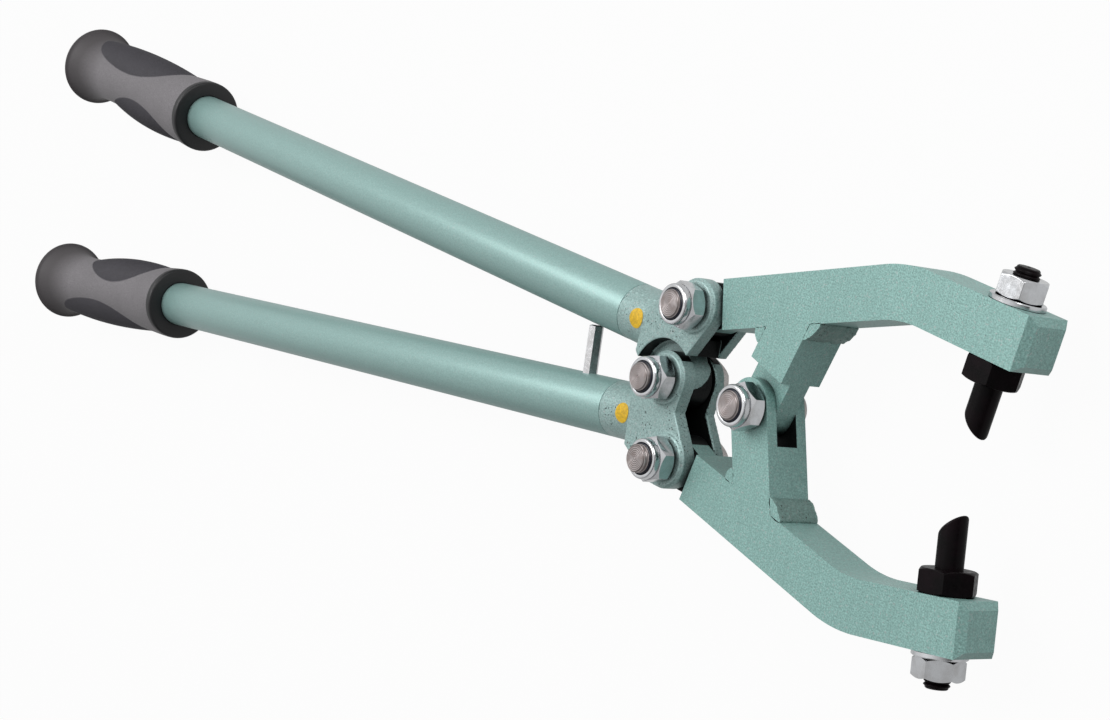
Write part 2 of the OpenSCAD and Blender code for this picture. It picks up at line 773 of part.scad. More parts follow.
module punch_shape() {
    inner = bar_w / 2;
    stack = inner + washer_t + punch_nut_h + stud_out;
    tip_z = inner + collar_h + punch_l;
    slant = atan2(slant_l, punch_d);
    punch_frame() {
        rotate_extrude() polygon([[0, -stack], [stud_d / 2 - bolt_chamfer, -stack],
            [stud_d / 2, -stack + bolt_chamfer], [stud_d / 2, inner], [0, inner]]);
        translate([0, 0, inner]) rotate([0, 0, collar_turn])
            hex_body(collar_af, collar_h, collar_chamfer);
        difference() {
            translate([0, 0, inner + collar_h - over]) cylinder(r = punch_d / 2, h = punch_l + over);
            translate([punch_d / 2, 0, tip_z]) rotate([0, -slant, 0])
                translate([-punch_l * 2, -punch_l, 0]) cube([punch_l * 4, 2 * punch_l, punch_l]);
        }
    }
}

module punch_nut_shape(turn) {
    punch_frame() translate([0, 0, -bar_w / 2 - washer_t - punch_nut_h]) difference() {
        rotate([0, 0, turn]) hex_body(punch_nut_af, punch_nut_h, bolt_chamfer);
        translate([0, 0, -over])
            cylinder(r = stud_d / 2 + thread_gap, h = punch_nut_h + 2 * over);
    }
}

module washer_shape() {
    punch_frame() translate([0, 0, -bar_w / 2 - washer_t]) difference() {
        cylinder(r = washer_d / 2, h = washer_t);
        translate([0, 0, -over])
            cylinder(r = stud_d / 2 + bore_gap * 4, h = washer_t + 2 * over);
    }
}

// Round patch of paint on the shank's upper side
module paint_mark(s) {
    p = on_axis(s, 0);
    intersection() {
        handle_frame() difference() {
            cylinder(r = tube_r + mark_t, h = seam_s);
            translate([0, 0, -over]) cylinder(r = tube_r, h = seam_s + 2 * over);
        }
        translate([p[0], p[1], 0]) cylinder(r = mark_d / 2, h = tube_d);
    }
}

// Sub-parts

module upper_jaw_arm() { color(green) place() jaw_arm(); }
module upper_jaw_lug() { color(green) place() tongue_lug(); }
module upper_jaw_weld() { color(dark_green) place() for (side = [-1, 1]) weld_bead(side); }
module lower_jaw_arm() { color(green) place() flip() jaw_arm(); }
module lower_jaw_lug() { color(green) place() flip() clevis_lug(); }
module lower_jaw_weld() { color(dark_green) place() flip() for (side = [-1, 1]) weld_bead(side); }
module upper_fork() { color(green) place() upper_fork_shape(); }
module lower_fork() { color(green) place() lower_fork_shape(); }
module upper_tube() { color(green) place() tube_shape(grip_start_s); }
module lower_tube() { color(green) place() lower_tube_shape(); }
module upper_grip() { color(grip_grey) place() grip_shape(grip_start_s); }
module lower_grip() { color(grip_grey) place() flip() grip_shape(low_grip_s); }
module upper_grip_pads() { color(pad_grey) place() pads_shape(grip_start_s); }
module lower_grip_pads() { color(pad_grey) place() flip() pads_shape(low_grip_s); }
module upper_grip_collar() { color(black) place() collar_shape(grip_start_s); }
module lower_grip_collar() { color(black) place() flip() collar_shape(low_grip_s); }
module stop_pin() { color(steel) place() stop_shape(); }

fork_back = fork_mid - cheek_back;
fork_seat = fork_mid + cheek_front + seat_h;

module handle_pivot_bolt() {
    color(steel) place() pivot_bolt(p_handle, fork_back, fork_seat, handle_bolt_out) hex_head();
}
module upper_link_bolt() {
    color(steel) place() pivot_bolt(p_link, fork_back, fork_seat, upper_bolt_out) hex_head();
}
module lower_link_bolt() {
    color(steel) place() pivot_bolt(p_low_link, fork_back, fork_seat, lower_bolt_out) hex_head();
}
module jaw_pivot_bolt() {
    color(steel) place() pivot_bolt(p_jaw, -bar_half, bar_half, jaw_bolt_out) round_head();
}
module handle_pivot_nut() { color(zinc) place() lock_nut(p_handle, fork_seat, handle_nut_turn); }
module upper_link_nut() { color(zinc) place() lock_nut(p_link, fork_seat, upper_link_nut_turn); }
module lower_link_nut() { color(zinc) place() lock_nut(p_low_link, fork_seat, lower_link_nut_turn); }
module jaw_pivot_nut() { color(zinc) place() lock_nut(p_jaw, bar_half, jaw_nut_turn); }
module handle_nylon_ring() { color(nylon) place() nylon_ring(p_handle, fork_seat); }
module upper_link_nylon_ring() { color(nylon) place() nylon_ring(p_link, fork_seat); }
module lower_link_nylon_ring() { color(nylon) place() nylon_ring(p_low_link, fork_seat); }
module jaw_nylon_ring() { color(nylon) place() nylon_ring(p_jaw, bar_half); }
module upper_punch() { color(blackened) place() punch_shape(); }
module lower_punch() { color(blackened) place() flip() punch_shape(); }
module upper_punch_nut() { color(zinc) place() punch_nut_shape(upper_nut_turn); }
module lower_punch_nut() { color(zinc) place() flip() punch_nut_shape(lower_nut_turn); }
module upper_punch_washer() { color(zinc) place() washer_shape(); }
module lower_punch_washer() { color(zinc) place() flip() washer_shape(); }

module upper_paint_mark() { color(yellow) place() paint_mark(upper_mark_s); }
module lower_paint_mark() { color(yellow) place() flip() paint_mark(lower_mark_s); }

upper_jaw_arm();
upper_jaw_lug();
upper_jaw_weld();
lower_jaw_arm();
lower_jaw_lug();
lower_jaw_weld();
upper_fork();
lower_fork();
upper_tube();
lower_tube();
upper_grip();
lower_grip();
upper_grip_pads();
lower_grip_pads();
upper_grip_collar();
lower_grip_collar();
stop_pin();
handle_pivot_bolt();
upper_link_bolt();
lower_link_bolt();
jaw_pivot_bolt();
handle_pivot_nut();
upper_link_nut();
lower_link_nut();
jaw_pivot_nut();
handle_nylon_ring();
upper_link_nylon_ring();
lower_link_nylon_ring();
jaw_nylon_ring();
upper_punch();
lower_punch();
upper_punch_nut();
lower_punch_nut();
upper_punch_washer();
lower_punch_washer();
upper_paint_mark();
lower_paint_mark();
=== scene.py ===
# %% [markdown]
# Sheet metal hole punch pliers. Two bars carry opposed punches, two cast forks
# close them, and two long tubes with grips turn the forks. The model is loaded
# first, as a fixed frame: it says where every part sits and what it moves with.
# Each step below then gives one part its looks: edges, castings, threads, paint.

# %% Load the frame
import json
import math
import bmesh
import bpy
from mathutils import Matrix, Vector
from mathutils.bvhtree import BVHTree

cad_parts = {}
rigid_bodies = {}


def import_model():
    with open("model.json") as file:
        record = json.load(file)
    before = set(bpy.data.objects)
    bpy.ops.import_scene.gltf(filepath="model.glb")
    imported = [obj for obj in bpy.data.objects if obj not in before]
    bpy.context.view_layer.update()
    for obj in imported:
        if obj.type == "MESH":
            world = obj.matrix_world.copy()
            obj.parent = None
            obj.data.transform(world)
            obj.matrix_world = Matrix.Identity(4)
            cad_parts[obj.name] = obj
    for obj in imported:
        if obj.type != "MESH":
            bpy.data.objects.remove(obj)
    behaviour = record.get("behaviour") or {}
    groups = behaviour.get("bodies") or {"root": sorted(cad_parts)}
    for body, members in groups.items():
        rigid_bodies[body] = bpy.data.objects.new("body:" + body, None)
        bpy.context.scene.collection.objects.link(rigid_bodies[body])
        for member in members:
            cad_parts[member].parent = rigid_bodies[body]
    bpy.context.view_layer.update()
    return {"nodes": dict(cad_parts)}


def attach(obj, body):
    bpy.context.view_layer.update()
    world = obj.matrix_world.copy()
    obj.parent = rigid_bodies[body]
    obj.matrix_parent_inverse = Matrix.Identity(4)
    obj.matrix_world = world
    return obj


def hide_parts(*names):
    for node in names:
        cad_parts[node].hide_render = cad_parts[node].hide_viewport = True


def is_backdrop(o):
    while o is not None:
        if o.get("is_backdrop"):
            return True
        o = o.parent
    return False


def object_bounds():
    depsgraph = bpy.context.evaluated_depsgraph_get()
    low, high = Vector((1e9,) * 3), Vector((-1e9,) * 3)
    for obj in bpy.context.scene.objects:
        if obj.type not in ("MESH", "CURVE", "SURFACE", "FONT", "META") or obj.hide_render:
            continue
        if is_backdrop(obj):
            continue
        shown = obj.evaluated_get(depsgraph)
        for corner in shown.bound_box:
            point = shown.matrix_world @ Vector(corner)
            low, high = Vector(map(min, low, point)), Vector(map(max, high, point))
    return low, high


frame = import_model()
nodes = frame["nodes"]

# %% [markdown]
# The sizes are given in millimetres about the handle pivot, as they'd be
# measured on the bench. One offset takes them into the model's own frame.
# The upper and the lower half mirror each other, so side is 1 or -1 below.

# %% Sizes and places
MM = 0.001
OFFSET = Vector((221.397, -0.2663, 24.0)) * MM
HANDLE_PIVOT = (0.0, 0.0)
UPPER_LINK = (9.3, 32.3)
LOWER_LINK = (9.3, -32.3)
JAW_PIVOT = (50.8, 0.0)
HANDLE_ANGLE = math.radians(4.7)
GRIP_TILT = math.radians(0.6)
TUBE_START = 39.6
GRIP_START = {1: 461.5, -1: 455.0}
BAR_HALF = 10.6
FORK_MIDDLE = 1.7
FORK_BACK = -9.3
FORK_SEAT = 14.15
TONGUE_HALF = 5.0
BOLT_FLATS = 17.5
NUT_GAP = 1.2
NUT_HEIGHT = 10.8
HEAD_HEIGHT = 5.3


def spot(x, y, z=0.0):
    """A place in millimetres about the handle pivot, in the model's frame."""
    return Vector((x, y, z)) * MM + OFFSET


def axes(origin, x_axis, z_axis):
    """A frame at origin with its Z along z_axis and its X along x_axis."""
    z_axis = Vector(z_axis).normalized()
    y_axis = z_axis.cross(Vector(x_axis)).normalized()
    x_axis = y_axis.cross(z_axis)
    turn = Matrix((x_axis, y_axis, z_axis)).transposed()
    return Matrix.Translation(origin) @ turn.to_4x4()


def handle_frame(side):
    """Z runs along a handle to its grip, X points away from the middle line."""
    cos, sin = math.cos(HANDLE_ANGLE), math.sin(HANDLE_ANGLE)
    return axes(spot(0, side * 18.2), (sin, side * cos, 0), (-cos, side * sin, 0))


def grip_frame(side):
    """The handle's frame, moved to the grip's collar and tilted outwards."""
    move = Matrix.Translation((0, 0, GRIP_START[side] * MM))
    return handle_frame(side) @ move @ Matrix.Rotation(GRIP_TILT, 4, "Y")


def punch_frame(side):
    """Z runs from a bar's middle to its punch's tip, X points forwards."""
    cos, sin = math.cos(math.radians(8)), math.sin(math.radians(8))
    along = Vector((cos, -sin, 0))
    rise = math.radians(14.1)
    bend = Vector((22.5, 36, 0)) + 97 * Vector((math.cos(rise), math.sin(rise), 0))
    middle = bend + (60.4 - 17.8) * along
    origin = spot(middle.x, side * middle.y)
    return axes(origin, (cos, -side * sin, 0), (-sin, -side * cos, 0))


def pivot_frame(pivot, z):
    """Upright frame at a pivot, z millimetres above the bars' mid plane."""
    return Matrix.Translation(spot(pivot[0], pivot[1], z))


print("punch tip", punch_frame(1) @ Vector((5.2 * MM, 0, 40.05 * MM)))

# %% [markdown]
# The photograph is taken from the punches' side and a little above the bench.
# The camera's place, turn and lens were worked out from the four pivots, the
# bars and the tubes, so the model falls on the photograph line by line.

# %% Camera
camera_data = bpy.data.cameras.new("camera")
camera = bpy.data.objects.new("camera", camera_data)
bpy.context.scene.collection.objects.link(camera)
camera_data.sensor_width = 36
camera_data.lens = 65.79
camera_data.clip_start = 0.01
camera_data.clip_end = 50
turn = Matrix.Rotation(0.9011067, 3, "Y") @ Matrix.Rotation(-0.1228173, 3, "X")
turn = turn @ Matrix.Rotation(0.1905018, 3, "Z")
camera.matrix_world = Matrix.Translation((0.8454, 0.1014, 0.5902)) @ turn.to_4x4()
bpy.context.scene.camera = camera
print("camera at", camera.matrix_world.translation)

# %% [markdown]
# Every finish is built from a few nodes. A helper adds a node with its values,
# another joins two sockets, and colours are written as they look on a screen
# and turned into the linear values that the renderer works with.

# %% Helpers for finishes
def screen(red, green, blue):
    """A screen colour, 0 to 255, as linear values."""
    shares = [value / 255 for value in (red, green, blue)]
    line = [s / 12.92 if s < 0.04045 else ((s + 0.055) / 1.055) ** 2.4 for s in shares]
    return (*line, 1.0)


def add(tree, kind, values=None, **settings):
    """A node of this kind, with settings and with values for its sockets."""
    node = tree.nodes.new("ShaderNode" + kind)
    for name, value in settings.items():
        setattr(node, name, value)
    for name, value in (values or {}).items():
        node.inputs[name].default_value = value
    return node


def join(tree, node, output, other, socket):
    """Joins an output of one node to a socket of another."""
    tree.links.new(node.outputs[output], other.inputs[socket])


def finish(name, color, roughness, metallic=0.0, **values):
    """A material with one shader, its tree and its object coordinates."""
    material = bpy.data.materials.new(name)
    material.use_nodes = True
    tree = material.node_tree
    shader = tree.nodes["Principled BSDF"]
    shader.inputs["Base Color"].default_value = color
    shader.inputs["Roughness"].default_value = roughness
    shader.inputs["Metallic"].default_value = metallic
    for socket, value in values.items():
        shader.inputs[socket.replace("_", " ")].default_value = value
    coordinates = add(tree, "TexCoord")
    return material, tree, shader, coordinates


def noise(tree, place, scale, detail=2.0, stretch=None, rough=0.5):
    """Noise of this many grains to the metre, stretched if asked."""
    texture = add(tree, "TexNoise", {"Scale": scale, "Detail": detail, "Roughness": rough})
    if stretch:
        mapping = add(tree, "Mapping", {"Scale": stretch})
        join(tree, place, "Object", mapping, "Vector")
        join(tree, mapping, "Vector", texture, "Vector")
    else:
        join(tree, place, "Object", texture, "Vector")
    return texture


def ramp(tree, node, output, low, high, dark=0.0, light=1.0):
    """Maps a value from low..high to dark..light, held at both ends."""
    limits = {"From Min": low, "From Max": high, "To Min": dark, "To Max": light}
    mapped = add(tree, "MapRange", limits)
    join(tree, node, output, mapped, "Value")
    return mapped


def blend(tree, share, first, second):
    """Mixes two colours, or a colour into a node's colour, by a share."""
    mix = add(tree, "Mix", data_type="RGBA")
    join(tree, share, 0, mix, 0)
    for value, socket in ((first, 6), (second, 7)):
        if isinstance(value, bpy.types.Node):
            tree.links.new(value.outputs[2], mix.inputs[socket])
        else:
            mix.inputs[socket].default_value = value
    return mix


def relief(tree, shader, node, output, depth, strength=1.0, under=None):
    """Bump of this depth in millimetres, on top of another bump."""
    bump = add(tree, "Bump", {"Strength": strength, "Distance": depth * MM})
    join(tree, node, output, bump, "Height")
    if under:
        join(tree, under, "Normal", bump, "Normal")
    join(tree, bump, "Normal", shader, "Normal")
    return bump


print("screen white", screen(255, 255, 255))

# %% [markdown]
# The green paint is a metallic hammer paint: pale blue-green, with a grain
# finer than a millimetre and paler, greyer flecks. Bars show faint marks across
# their length from grinding. Castings show dark pits where paint didn't reach.
# Shade is painted into the slots and corners: an occlusion node finds how deep a
# place lies, and the deepest places turn nearly black.

# %% Green paint
def painted_occlusion_shade(tree, mixed, reach, deep, open_at, color=(0.004, 0.005, 0.005, 1)):
    """Paints shade, darkening places that lie deep between walls; reach is in millimetres."""
    depth = add(tree, "AmbientOcclusion", {"Distance": reach * MM}, samples=6)
    share = ramp(tree, depth, "AO", deep, open_at, 1, 0)
    return blend(tree, share, mixed, color)


def green_paint(name, color, pits=0.0, marks=0.0, clouds=0.5, gloss=(0.34, 0.50), edges=0.0,
                coarse=1.0):
    """Metallic paint; pits, marks, edges and coarse are shares from 0 to 1; edges paints a highlight on
    convex edges and shade in hollows.
    """
    material, tree, shader, place = finish(name, color, 0.42, 0.25)
    pale = [min(1.0, c * (1 + 0.24 * coarse) + 0.012 * coarse) for c in color[:3]] + [1.0]
    deep = [c * (1 - 0.24 * coarse) for c in color[:3]] + [1.0]
    grain = ramp(tree, noise(tree, place, 1500, 3), 0, 0.36, 0.64)
    mixed = blend(tree, grain, deep, pale)
    flecks = ramp(tree, noise(tree, place, 900, 2), 0, 0.60, 0.70, 0, 0.5 * coarse)
    grey = sum(color[:3]) / 3
    fleck = [grey * 1.30 + c * 0.05 for c in color[:3]] + [1.0]
    mixed = blend(tree, flecks, mixed, fleck)
    broad = ramp(tree, noise(tree, place, 38, 3), 0, 0.3, 0.7, 0, 0.28 * clouds)
    mixed = blend(tree, broad, mixed, deep)
    height = relief(tree, shader, grain, 0, 0.05, 0.30)
    if marks:
        lines = noise(tree, place, 1, 2, (1500, 45, 300))
        lines = ramp(tree, lines, 0, 0.42, 0.62, 0, 0.30 * marks)
        mixed = blend(tree, lines, mixed, deep)
        height = relief(tree, shader, lines, 0, 0.06, 0.5, height)
    # Painted highlight along convex edges and painted shade in hollows, both found by pointiness.
    if edges:
        shape = add(tree, "NewGeometry")
        edge_highlight = ramp(tree, shape, "Pointiness", 0.515, 0.57, 0, edges)
        mixed = blend(tree, edge_highlight, mixed, [min(1.0, c * 1.45 + 0.03) for c in color[:3]] + [1.0])
        hollow_shade = ramp(tree, shape, "Pointiness", 0.44, 0.485, edges, 0)
        mixed = blend(tree, hollow_shade, mixed, [c * 0.42 for c in color[:3]] + [1.0])
    if pits:
        cells = add(tree, "TexVoronoi", {"Scale": 740.0, "Randomness": 1.0})
        join(tree, place, "Object", cells, "Vector")
        spots = ramp(tree, cells, "Distance", 0.14, 0.28, 1, 0)
        where = ramp(tree, noise(tree, place, 110, 3), 0, 0.49, 0.58, 0, pits)
        both = add(tree, "Math", operation="MULTIPLY")
        join(tree, spots, 0, both, 0)
        join(tree, where, 0, both, 1)
        mixed = blend(tree, both, mixed, screen(30, 40, 40))
        turned = ramp(tree, both, 0, 0, 1, 1, 0)
        height = relief(tree, shader, turned, 0, 0.25, 0.8, height)
    # Painted shade: places deep between walls, within 14 mm, turn nearly black.
    mixed = painted_occlusion_shade(tree, mixed, 14, 0.15, 0.52)
    join(tree, mixed, 2, shader, "Base Color")
    rough = ramp(tree, grain, 0, 0, 1, *gloss)
    join(tree, rough, 0, shader, "Roughness")
    return material


bar_paint = green_paint("green_bar", screen(129, 168, 162), marks=1.0, pits=0.2)
fork_paint = green_paint("green_casting", screen(141, 168, 165), pits=1.0, clouds=1.0, edges=0.6)
tube_paint = green_paint("green_tube", screen(135, 167, 163), clouds=0.6, gloss=(0.32, 0.44), coarse=0.45)
bead_paint = green_paint("green_bead", screen(108, 138, 132), pits=1.0, clouds=1.5, edges=0.5)
# Painted shade: near-black paint with little sheen, for faces deep in slots where shade falls.
slot_shade_paint = green_paint("painted_shade_in_slots", screen(8, 11, 11), clouds=1.5)
slot_shade_shader = slot_shade_paint.node_tree.nodes["Principled BSDF"]
slot_shade_shader.inputs["Metallic"].default_value = 0.0
slot_shade_shader.inputs["Specular IOR Level"].default_value = 0.1
print("green paints made")

# %% [markdown]
# Bright zinc on the nuts and washers, blue-grey and a little uneven; bare steel
# on the bolts' ends, turned in rings; and a brown-black oxide on the punches.
# Metals take their colour from what they mirror, so their roughness matters.

# %% Metals
def zinc_finish(name, color, rough=(0.12, 0.24)):
    """Plated steel with soft stains and fine scratches, with painted shade in its corners."""
    material, tree, shader, place = finish(name, color, 0.25, 1.0)
    stains = ramp(tree, noise(tree, place, 200, 3), 0, 0.40, 0.72, 0, 0.8)
    warm = [c * f for c, f in zip(color[:3], (0.74, 0.72, 0.70))] + [1.0]
    mixed = blend(tree, stains, color, warm)
    # Painted shade in the corners of nuts, washers, heads and pin.
    mixed = painted_occlusion_shade(tree, mixed, 2.5, 0.25, 0.52, (0.02, 0.022, 0.024, 1))
    join(tree, mixed, 2, shader, "Base Color")
    gloss = ramp(tree, noise(tree, place, 700, 2), 0, 0.3, 0.7, *rough)
    join(tree, gloss, 0, shader, "Roughness")
    scratches = noise(tree, place, 1, 3, (1500, 1500, 200))
    relief(tree, shader, scratches, 0, 0.012, 0.4)
    return material


def turned_finish(name, color, centre):
    """Steel with turning rings about an upright axis through centre."""
    material, tree, shader, place = finish(name, color, 0.34, 1.0)
    mapping = add(tree, "Mapping", {"Location": -centre})
    join(tree, place, "Object", mapping, "Vector")
    rings = add(tree, "TexWave", {"Scale": 400.0, "Distortion": 1.2, "Detail": 1.0},
                wave_type="RINGS", rings_direction="Z")
    join(tree, mapping, "Vector", rings, "Vector")
    dark = [c * 0.30 for c in color[:3]] + [1.0]
    grooves = ramp(tree, rings, "Fac", 0.2, 0.8, 0.85, 0)
    mixed = blend(tree, grooves, color, dark)
    stains = ramp(tree, noise(tree, place, 420, 3), 0, 0.45, 0.7, 0, 0.7)
    brown = [c * f for c, f in zip(color[:3], (0.50, 0.45, 0.43))] + [1.0]
    mixed = blend(tree, stains, mixed, brown)
    # Painted shade in the corners and in hollows such as the centre dimple.
    mixed = painted_occlusion_shade(tree, mixed, 2.0, 0.20, 0.55, (0.01, 0.01, 0.011, 1))
    join(tree, mixed, 2, shader, "Base Color")
    relief(tree, shader, rings, "Fac", 0.07, 0.8)
    return material


def oxide_finish(name, color):
    """Blackened tool steel with a brown-violet bloom and light scratches."""
    material, tree, shader, place = finish(name, color, 0.36, 0.0, Specular_IOR_Level=0.07)
    bloom = ramp(tree, noise(tree, place, 150, 4), 0, 0.38, 0.66)
    brown = (color[0] * 2.4, color[1] * 1.5, color[2] * 1.9, 1.0)
    mixed = blend(tree, bloom, color, brown)
    join(tree, mixed, 2, shader, "Base Color")
    gloss = ramp(tree, noise(tree, place, 700, 3), 0, 0.3, 0.7, 0.26, 0.46)
    join(tree, gloss, 0, shader, "Roughness")
    relief(tree, shader, noise(tree, place, 1600, 2), 0, 0.03, 0.5)
    return material


zinc = zinc_finish("bright_zinc", screen(206, 208, 211))
pin_steel = zinc_finish("pin_steel", screen(206, 206, 208), (0.14, 0.28))
head_steel = zinc_finish("head_steel", screen(196, 192, 190), (0.22, 0.40))
oxide = oxide_finish("black_oxide", screen(7, 5, 6))
print("metals made")

# %% [markdown]
# The grips are a soft grey plastic with harder, darker pads let into it, and a
# black collar in front. Plastic has no metal in it: a fine grain in its relief,
# and a roughness near one half, are what make it look moulded.

# %% Plastics and marking paint
def plastic_finish(name, color, rough, grain=1500, depth=0.04, vary=0.22):
    """Moulded plastic with a grain and a slight mottle."""
    material, tree, shader, place = finish(name, color, rough)
    mottle = ramp(tree, noise(tree, place, grain, 3), 0, 0.34, 0.66)
    deep = [c * (1 - vary) for c in color[:3]] + [1.0]
    pale = [min(1.0, c * (1 + vary)) for c in color[:3]] + [1.0]
    mixed = blend(tree, mottle, deep, pale)
    broad = ramp(tree, noise(tree, place, 60, 2), 0, 0.35, 0.7, 0, 0.35)
    mixed = blend(tree, broad, mixed, deep)
    join(tree, mixed, 2, shader, "Base Color")
    relief(tree, shader, mottle, 0, depth, 0.6)
    return material, tree, shader, place, mixed


def grip_plastic(name, side):
    """Grey plastic, darker on the flange at the grip's end."""
    made = plastic_finish(name, screen(112, 109, 112), 0.62)
    material, tree, shader, place, mixed = made
    to_grip = grip_frame(side).inverted()
    along = add(tree, "VectorMath", operation="DOT_PRODUCT")
    along.inputs[1].default_value = to_grip[2][:3]
    join(tree, place, "Object", along, 0)
    start = 0.122 - to_grip[2][3]
    share = ramp(tree, along, "Value", start, start + 0.026, 0, 0.9)
    rim = blend(tree, share, mixed, screen(58, 54, 56))
    join(tree, rim, 2, shader, "Base Color")
    return material


grip_grey = {1: grip_plastic("grip_grey_upper", 1), -1: grip_plastic("grip_grey_lower", -1)}
pad_dark = plastic_finish("pad_dark", screen(52, 50, 56), 0.7, 1900, 0.03, 0.35)[0]
collar_black = plastic_finish("collar_black", screen(15, 15, 18), 0.45, 1200, 0.03)[0]
nylon = plastic_finish("nylon", screen(16, 20, 38), 0.3, 900, 0.02)[0]
yellow = plastic_finish("yellow_paint", screen(214, 172, 14), 0.5, 1000, 0.09, 0.22)[0]
print("plastics made")

# %% [markdown]
# Pieces are shaped as by hand: one object is made active, edited, finished by
# modifiers that are applied at once, and then turned into place. Its turn and
# place go into its mesh, so the object itself stays at the model's origin.

# %% Helpers for pieces
def alone(piece):
    """Only this piece is selected and active, in object mode."""
    if bpy.context.mode != "OBJECT":
        bpy.ops.object.mode_set(mode="OBJECT")
    bpy.ops.object.select_all(action="DESELECT")
    piece.hide_set(False)
    piece.select_set(True)
    bpy.context.view_layer.objects.active = piece
    return piece


def modify(piece, kind, **settings):
    """Adds a modifier with these settings and applies it."""
    alone(piece)
    modifier = piece.modifiers.new(kind.lower(), kind)
    for name, value in settings.items():
        setattr(modifier, name, value)
    bpy.ops.object.modifier_apply(modifier=modifier.name)
    return piece


def round_edges(piece, width, segments=2, angle=30):
    """Bevels the edges that are sharper than the angle."""
    return modify(piece, "BEVEL", width=width * MM, segments=segments,
                  limit_method="ANGLE", angle_limit=math.radians(angle),
                  use_clamp_overlap=True, harden_normals=False)


def lathe(name, profile, steps=72):
    """Spins a closed outline of (radius, height) points, in millimetres."""
    outline = bpy.data.meshes.new(name)
    points = [(radius * MM, 0, height * MM) for radius, height in profile]
    edges = [(i, i + 1) for i in range(len(points) - 1)]
    if profile[0][0] > 0:
        edges.append((len(points) - 1, 0))
    outline.from_pydata(points, edges, [])
    piece = bpy.data.objects.new(name, outline)
    bpy.context.scene.collection.objects.link(piece)
    alone(piece)
    bpy.ops.object.mode_set(mode="EDIT")
    bpy.ops.mesh.select_all(action="SELECT")
    bpy.ops.mesh.spin(steps=steps, angle=2 * math.pi, center=(0, 0, 0), axis=(0, 0, 1))
    bpy.ops.mesh.select_all(action="SELECT")
    bpy.ops.mesh.remove_doubles(threshold=0.000002)
    bpy.ops.mesh.normals_make_consistent(inside=False)
    bpy.ops.object.mode_set(mode="OBJECT")
    return piece


def pick_faces(piece, test):
    """Opens a piece in edit mode with only the faces that pass the test."""
    alone(piece)
    bpy.ops.object.mode_set(mode="EDIT")
    bpy.ops.mesh.select_mode(type="FACE")
    bpy.ops.mesh.select_all(action="DESELECT")
    bpy.ops.object.mode_set(mode="OBJECT")
    for face in piece.data.polygons:
        face.select = test(face)
    bpy.ops.object.mode_set(mode="EDIT")


def put(piece, place):
    """Moves a piece into a frame and keeps the place in its mesh."""
    alone(piece)
    piece.matrix_world = place
    bpy.ops.object.transform_apply(location=True, rotation=True, scale=True)
    return piece


def done(piece, material, body, replaced=(), angle=35, flats=False):
    """Finish, smooth shading and body of a piece; hides the nodes it replaces."""
    alone(piece)
    if material:
        piece.data.materials.clear()
        piece.data.materials.append(material)
    bpy.ops.object.shade_smooth_by_angle(angle=math.radians(angle))
    if flats:
        modify(piece, "WEIGHTED_NORMAL", weight=100, keep_sharp=True)
    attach(piece, body)
    if replaced:
        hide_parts(*replaced)
    print(piece.name, len(piece.data.polygons), "faces")
    return piece


def merged_copy(node, name, flat=True):
    """A copy of a model node, its triangles merged and, if flat, its faces too."""
    piece = nodes[node].copy()
    piece.data = nodes[node].data.copy()
    piece.name = name
    piece.parent = None
    for key in list(piece.keys()):
        del piece[key]
    bpy.context.scene.collection.objects.link(piece)
    alone(piece)
    if piece.data.has_custom_normals:
        bpy.ops.mesh.customdata_custom_splitnormals_clear()
    bpy.ops.object.mode_set(mode="EDIT")
    bpy.ops.mesh.select_all(action="SELECT")
    bpy.ops.mesh.remove_doubles(threshold=0.000005)
    if flat:
        bpy.ops.mesh.dissolve_limited(angle_limit=math.radians(0.5))
    bpy.ops.object.mode_set(mode="OBJECT")
    return piece


print("bench ready")

# %% [markdown]
# Weld beads are lumps of metal that froze as they ran. A copy of the plain bead
# is remeshed into small even faces, and two soft noises push them in and out.
# Its ends are pressed flat again, because the welder ground them flush.

# %% Weld beads
def lumps(piece, size, height, depth=2, middle=0.5):
    """Pushes the surface in and out by a cloud noise."""
    cloud = bpy.data.textures.new(piece.name + "_cloud", "CLOUDS")
    cloud.noise_scale = size * MM
    cloud.noise_depth = depth
    return modify(piece, "DISPLACE", texture=cloud, strength=height * MM,
                  mid_level=middle, texture_coords="LOCAL")


def painted(piece, material):
    """Gives a piece this material alone."""
    piece.data.materials.clear()
    piece.data.materials.append(material)
    return piece


def level(piece, near=0.05):
    """Brings a bar's front and back exactly into their planes."""
    for vertex in piece.data.vertices:
        height = vertex.co.z - OFFSET.z
        if abs(height) > (BAR_HALF - near) * MM:
            vertex.co.z = OFFSET.z + math.copysign(BAR_HALF * MM, height)
    return piece


beads = {}
for half in ("upper", "lower"):
    bead = merged_copy(f"{half}_jaw_weld", f"{half}_beads")
    modify(bead, "REMESH", mode="VOXEL", voxel_size=0.5 * MM)
    modify(bead, "SMOOTH", factor=0.5, iterations=3)
    lumps(bead, 3.0, 1.3, middle=0.3)
    lumps(bead, 1.1, 0.4)
    beads[half] = painted(level(bead, 0.8), bead_paint)
    print(bead.name, len(bead.data.polygons), "faces")

# %% [markdown]
# The jaws are flat steel bar, sawn, milled, bent and welded. The model already
# has their exact form, so copies are united with their beads into one body, as
# the real ones are. Then the long edges are broken as with a file: the bevel
# catches a thin light line along each of them, and the beads are left rough.

